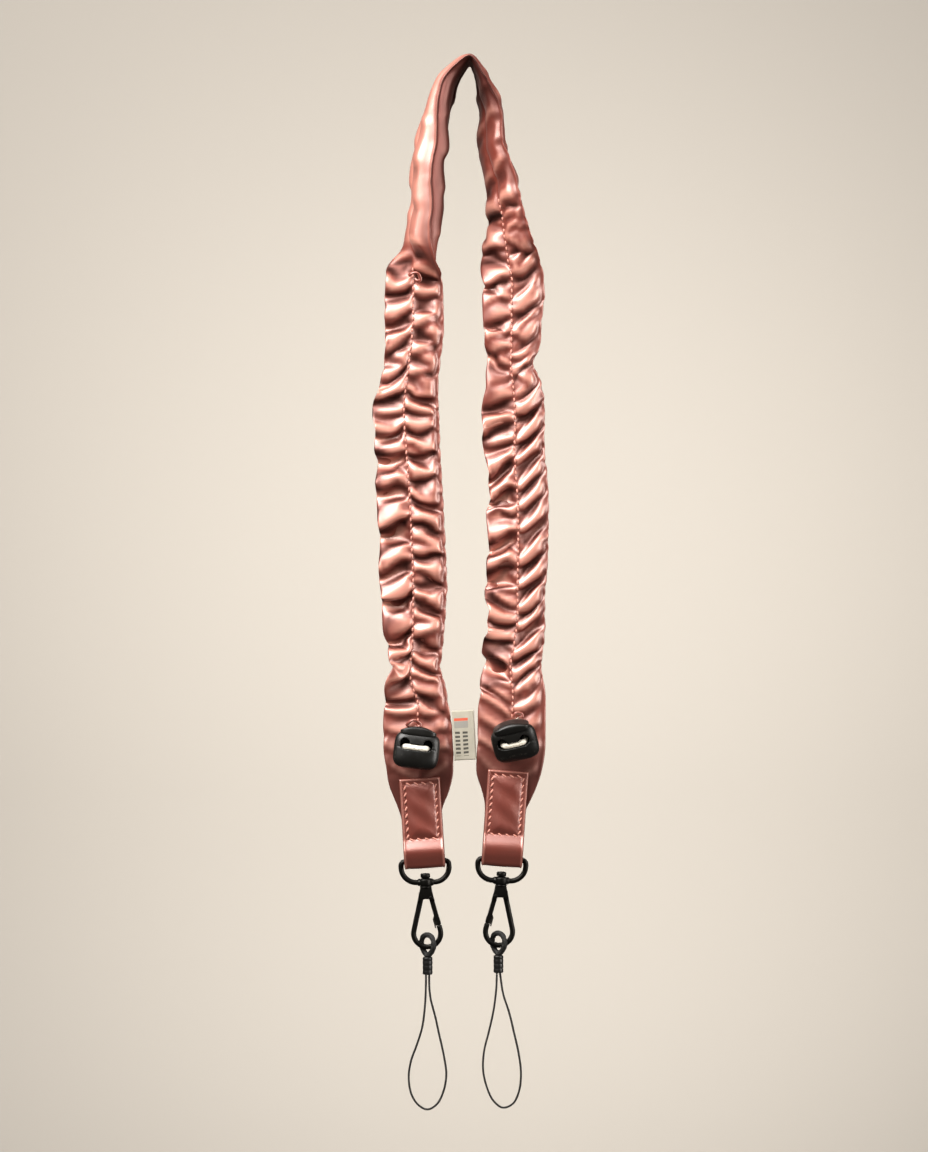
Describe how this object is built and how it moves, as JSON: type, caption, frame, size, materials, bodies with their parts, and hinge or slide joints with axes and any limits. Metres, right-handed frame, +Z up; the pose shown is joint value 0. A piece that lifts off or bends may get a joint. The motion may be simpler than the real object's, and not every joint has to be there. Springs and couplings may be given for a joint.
{
  "type": "ruched bag strap",
  "caption": "Ruched satin strap for a phone or small bag, folded over a hanging point, with cord stoppers, stitched tabs, swivel snap hooks and thin phone loops.",
  "frame": {"origin": "top of the sleeve's fold at the middle of the strap's length, where it is hung", "axes": "+Z up along the hanging legs, +X from the left leg to the right leg as worn facing the viewer, -Y out of the face that carries the cord stoppers"},
  "size_m": [0.0844, 0.0329, 0.5012],
  "materials": {
    "satin": "lustrous satin",
    "tab_satin": "smooth satin-faced tape",
    "black_metal": "satin black",
    "black_cord": "braided",
    "black_plastic": "semi-gloss",
    "white_elastic": "knitted elastic",
    "label": "woven tape"
  },
  "bodies": {
    "strap": {"satin_sleeve": "satin", "end_tab_left": "tab_satin", "end_tab_right": "tab_satin", "stopper_body_left": "black_plastic", "stopper_body_right": "black_plastic", "drawcord_left": "white_elastic", "drawcord_right": "white_elastic", "side_label": "label"},
    "ring_left": {"swivel_ring_left": "black_metal"},
    "hook_left": {"snap_hook_left": "black_metal", "lanyard_eye_left": "black_cord", "ferrule_left": "black_plastic", "phone_loop_left": "black_cord"},
    "gate_left": {"hook_gate_left": "black_metal"},
    "button_left": {"stopper_button_left": "black_plastic"},
    "ring_right": {"swivel_ring_right": "black_metal"},
    "hook_right": {"snap_hook_right": "black_metal", "lanyard_eye_right": "black_cord", "ferrule_right": "black_plastic", "phone_loop_right": "black_cord"},
    "gate_right": {"hook_gate_right": "black_metal"},
    "button_right": {"stopper_button_right": "black_plastic"}
  },
  "joints": [
    {"name": "ring_tilt_left", "type": "hinge", "parent": "strap", "child": "ring_left", "pos_m": [-0.0215, 0, -0.3826], "axis": [0.9995, 0, 0.0314], "range_deg": [-60, 60]},
    {"name": "hook_swivel_left", "type": "hinge", "parent": "ring_left", "child": "hook_left", "pos_m": [-0.02118, 0, -0.3927], "axis": [-0.0314, 0, 0.9995], "continuous": true},
    {"name": "gate_press_left", "type": "hinge", "parent": "hook_left", "child": "gate_left", "pos_m": [-0.01855, 0, -0.39992], "axis": [0, 1, 0], "range_deg": [0, 22], "stiffness_Nm_per_rad": 0.02, "springref_deg": -11.46},
    {"name": "button_press_left", "type": "slide", "parent": "strap", "child": "button_left", "axis": [-0.1212, -0.1045, -0.9871], "range_m": [0, 0.0016], "stiffness_N_per_m": 1200, "springref_m": -0.001},
    {"name": "ring_tilt_right", "type": "hinge", "parent": "strap", "child": "ring_right", "pos_m": [0.0152, 0, -0.3818], "axis": [0.9991, 0, -0.0419], "range_deg": [-60, 60]},
    {"name": "hook_swivel_right", "type": "hinge", "parent": "ring_right", "child": "hook_right", "pos_m": [0.01478, 0, -0.39189], "axis": [0.0419, 0, 0.9991], "continuous": true},
    {"name": "gate_press_right", "type": "hinge", "parent": "hook_right", "child": "gate_right", "pos_m": [0.01207, 0, -0.39908], "axis": [0, -1, 0], "range_deg": [0, 22], "stiffness_Nm_per_rad": 0.02, "springref_deg": -11.46},
    {"name": "button_press_right", "type": "slide", "parent": "strap", "child": "button_right", "axis": [0.24, 0.3746, -0.8956], "range_m": [0, 0.0016], "stiffness_N_per_m": 1200, "springref_m": -0.001}
  ]
}
